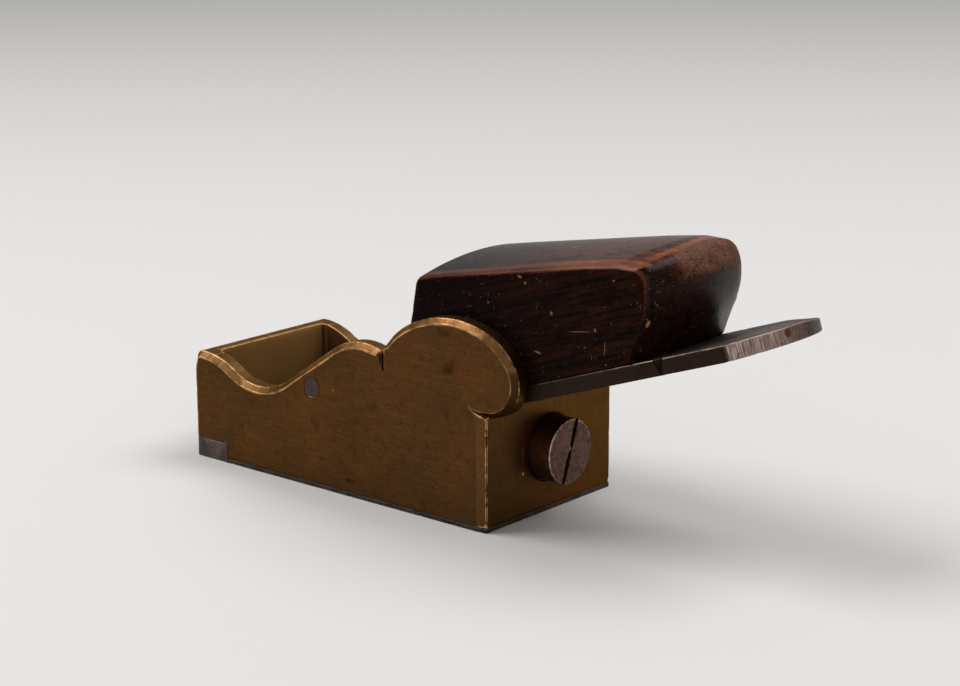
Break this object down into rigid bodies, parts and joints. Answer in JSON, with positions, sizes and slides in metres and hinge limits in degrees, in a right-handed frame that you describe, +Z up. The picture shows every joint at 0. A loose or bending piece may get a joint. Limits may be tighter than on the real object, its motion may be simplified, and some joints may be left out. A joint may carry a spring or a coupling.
{
  "type": "chariot plane",
  "caption": "Palm-sized chariot plane: steel-soled gunmetal casting with scrolled cheeks, low-bedded iron, rosewood wedge under a cross pin and a striking screw in the heel.",
  "frame": {"origin": "middle of the sole's underside, halfway between toe and heel", "axes": "+X from the toe to the heel, +Y across the plane, +Z up from the sole"},
  "size_m": [0.1355, 0.0388, 0.0576],
  "materials": {
    "gunmetal": "aged and brushed, bright on the worn edges",
    "sole_steel": "dull grey, scratched",
    "iron_steel": "dark brown patina, ground tail",
    "rosewood": "hand-polished, nearly black, reddish on the edges",
    "screw_steel": "brown patina with a bright rim"
  },
  "bodies": {
    "plane_body": {"casting": "gunmetal", "toe_block": "sole_steel", "sole_plate": "sole_steel", "cross_pin": "sole_steel"},
    "iron": {"iron": "iron_steel"},
    "wedge": {"wedge": "rosewood"},
    "screw": {"striking_screw": "screw_steel"}
  },
  "joints": [
    {"name": "iron_slide", "type": "slide", "parent": "plane_body", "child": "iron", "axis": [0.9455, 0, 0.3256], "range_m": [-0.0004, 0.03]},
    {"name": "wedge_slide", "type": "slide", "parent": "plane_body", "child": "wedge", "axis": [0.9455, 0, 0.3256], "range_m": [0, 0.018]},
    {"name": "screw_turn", "type": "hinge", "parent": "plane_body", "child": "screw", "pos_m": [0.04, 0, 0.0128], "axis": [1, 0, 0], "range_deg": [0, 360]}
  ]
}
